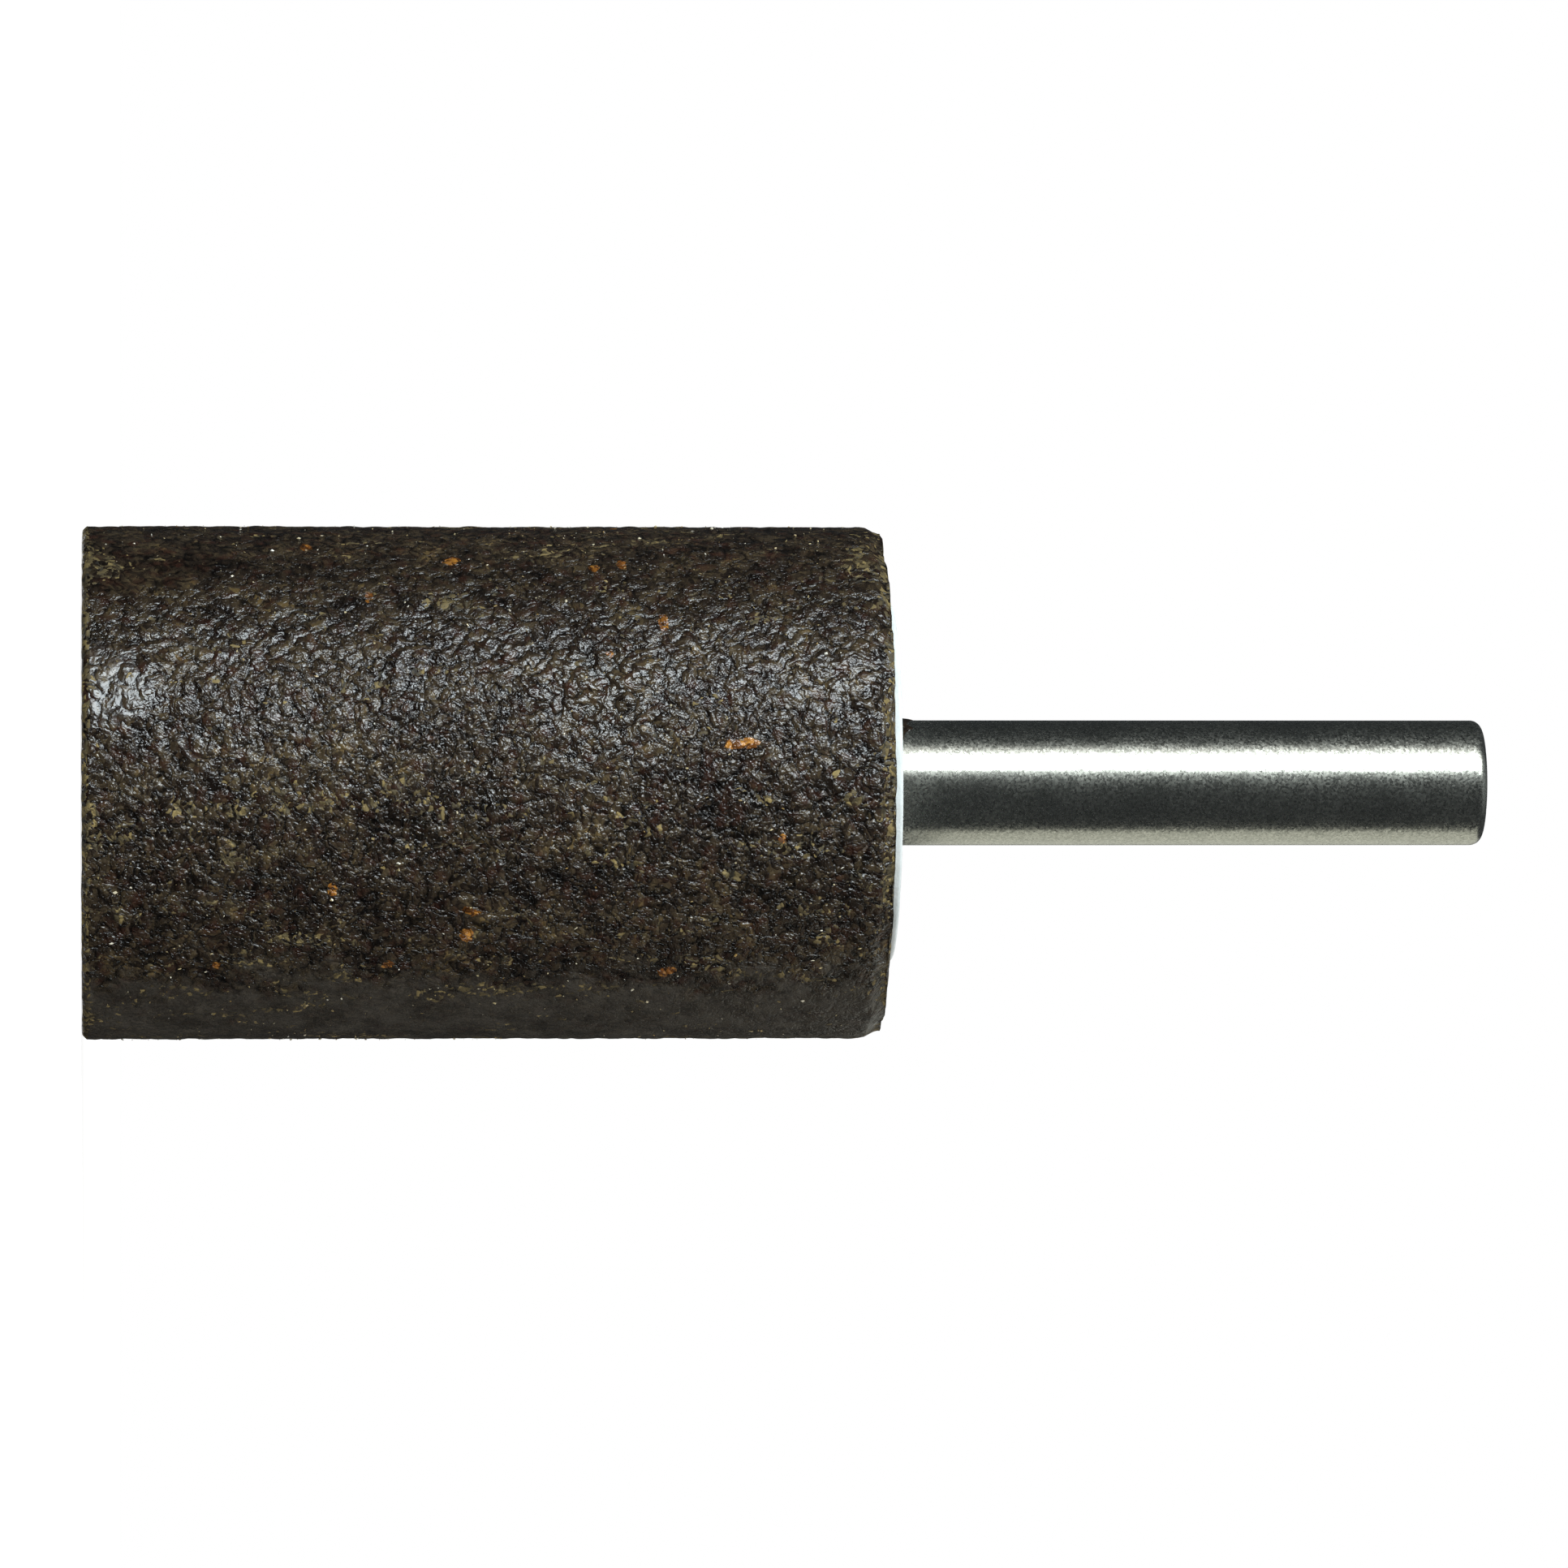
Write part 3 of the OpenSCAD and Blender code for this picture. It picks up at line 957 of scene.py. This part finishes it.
def blotting_paper():
    """Uncoated blotting paper: matt, pale grey and faintly cloudy, with short matted fibres."""
    material, tree = new_material("uncoated blotting paper")
    place = millimetres(tree)
    fibres = add(tree, "TexNoise", {
        "Vector": (place, 0), "Scale": 1 / FIBRE_SIZE, "Detail": 3.0, "Distortion": 1.5})
    cloudy = add(tree, "TexNoise", {"Vector": (place, 0), "Scale": 1 / PAPER_CLOUD_SIZE, "Detail": 2.0})
    mixed = add(tree, "Math", {0: (fibres, "Fac"), 1: 0.6, 2: (cloudy, "Fac")}, operation="MULTIPLY_ADD")
    colour = colour_ramp(tree, (mixed, 0), ((0.5, "#cdd4d2"), (1.0, "#e6eae8")))
    felt = add(tree, "Bump", {"Height": (fibres, "Fac"), "Distance": FELT_HEIGHT * MM, "Strength": 1.0})
    shader = add(tree, "BsdfPrincipled", {
        "Base Color": (colour, 0), "Roughness": 0.9, "IOR": 1.45, "Normal": (felt, 0)})
    add(tree, "OutputMaterial", {"Surface": (shader, 0)})
    return material


paper = blotting_paper()
blotter.data.materials.append(paper)
print("blotter:", len(blotter.data.polygons), "faces")

# %% [markdown]
# The shank is cemented in with a dark amber resin. The construction model has the cement in the
# bore and a neat bead under the shoulder. On the real one it crept up the steel on one side and set
# in a glossy smear. That smear is a thin shell wrapped round the root of the shank, thick at the
# foot and thin at its ragged top.

# %% Cement at the root of the shank
SMEAR_ROUND = 180
SMEAR_STEPS = 10
SMEAR_HEIGHT = 0.30
SMEAR_TALL = 0.75
SMEAR_TALL_ANGLE = 76
SMEAR_TALL_SPREAD = 22
SMEAR_FOOT = 0.32
SMEAR_BULGE = 0.17
SMEAR_THIN = 0.012
CEMENT_LUMP, CEMENT_LUMP_HEIGHT = 0.3, 0.12


def cured_cement():
    """Cured epoxy cement, squeezed out and left: dark amber, lumpy and wet-looking."""
    material, tree = new_material("cured epoxy cement")
    place = millimetres(tree)
    cloudy = add(tree, "TexNoise", {"Vector": (place, 0), "Scale": 1 / CEMENT_LUMP, "Detail": 3.0})
    colour = colour_ramp(tree, (cloudy, "Fac"), ((0.35, "#120d09"), (0.7, "#2f2419")))
    lumps = add(tree, "Bump", {
        "Height": (cloudy, "Fac"), "Distance": CEMENT_LUMP_HEIGHT * MM, "Strength": 1.0})
    shader = add(tree, "BsdfPrincipled", {
        "Base Color": (colour, 0), "Roughness": 0.18, "IOR": 1.55, "Normal": (lumps, 0)})
    add(tree, "OutputMaterial", {"Surface": (shader, 0)})
    return material


turn_angle = np.arange(SMEAR_ROUND) * 360 / SMEAR_ROUND
round_root = np.array([set_direction(angle) for angle in turn_angle])
off_tall = (turn_angle - SMEAR_TALL_ANGLE + 180) % 360 - 180
uneven = 0.6 + 0.8 * cloud(round_root * 6, 1.0, 31)
tall = uneven * (SMEAR_HEIGHT + SMEAR_TALL * np.exp(-(off_tall / SMEAR_TALL_SPREAD) ** 2))
inside = round_root[:, :2] * (shank_radius - SMEAR_THIN)
smear_rings = [np.column_stack((inside, paper_high + tall))]
for step in range(SMEAR_STEPS + 1):
    share = 1 - step / SMEAR_STEPS
    lump = 0.3 + cloud(round_root * 9 + (0, 0, share * 2), 1.0, 32)
    bulge = SMEAR_BULGE * (1 - share ** 4) * lump * tall / (tall + 0.5)
    skirt = shank_radius + SMEAR_FOOT * (1 - share) ** 3 + bulge
    smear_rings.append(np.column_stack((round_root[:, :2] * skirt[:, None], paper_high + tall * share)))
smear_rings.append(np.column_stack((inside, np.full(SMEAR_ROUND, paper_high))))
smear_faces = wrap(SMEAR_ROUND, len(smear_rings))
smear = new_piece("cement_smear", np.concatenate(smear_rings), smear_faces)
cement = cured_cement()
smear.data.materials.append(cement)
frame["nodes"]["shank_cement"].data.materials[0] = cement
print("cement smear:", len(smear_faces), "faces")

# %% [markdown]
# Where the paper's hole was punched, a few fibres were pulled up and stuck to the cement. They show
# as tiny pale burrs against the dark root of the shank. Each is a thin tapered strand of a few
# three-sided rings, bent a little on its way from the paper to its tip.

# %% Paper burrs at the root
BURRS = (
    # angle, distance out from the shank, rise, lean round the shank
    (38, 0.30, 0.42, 14), (33, 0.34, 0.30, -10), (60, 0.36, 0.34, 8), (66, 0.38, 0.26, -12),
    (-3, 0.32, 0.24, 9), (-14, 0.34, 0.18, -7), (118, 0.34, 0.32, 10), (175, 0.33, 0.26, -9),
    (236, 0.34, 0.34, 12), (290, 0.33, 0.22, -8),
)
BURR_STEPS = 4
BURR_THICKNESS = 0.035

burr_points, burr_faces = [], []
for angle, out, height, lean in BURRS:
    first = len(burr_points)
    for step in range(BURR_STEPS + 1):
        share = step / BURR_STEPS
        middle = set_direction(angle + lean * share ** 2) * (shank_radius + out * (1 - 0.5 * share))
        middle = middle + (0, 0, paper_high - 0.02 + height * share)
        burr_points += (middle + ring(BURR_THICKNESS * (1 - 0.7 * share), 0, 3)).tolist()
    for step in range(BURR_STEPS):
        low = first + step * 3 + np.arange(3)
        burr_faces += stitch(low, low + 3)
    burr_faces += [(first + 2, first + 1, first), tuple(first + BURR_STEPS * 3 + k for k in range(3))]
burrs = new_piece("paper_burrs", burr_points, burr_faces)
burrs.data.materials.append(paper)
print("paper burrs:", len(BURRS))
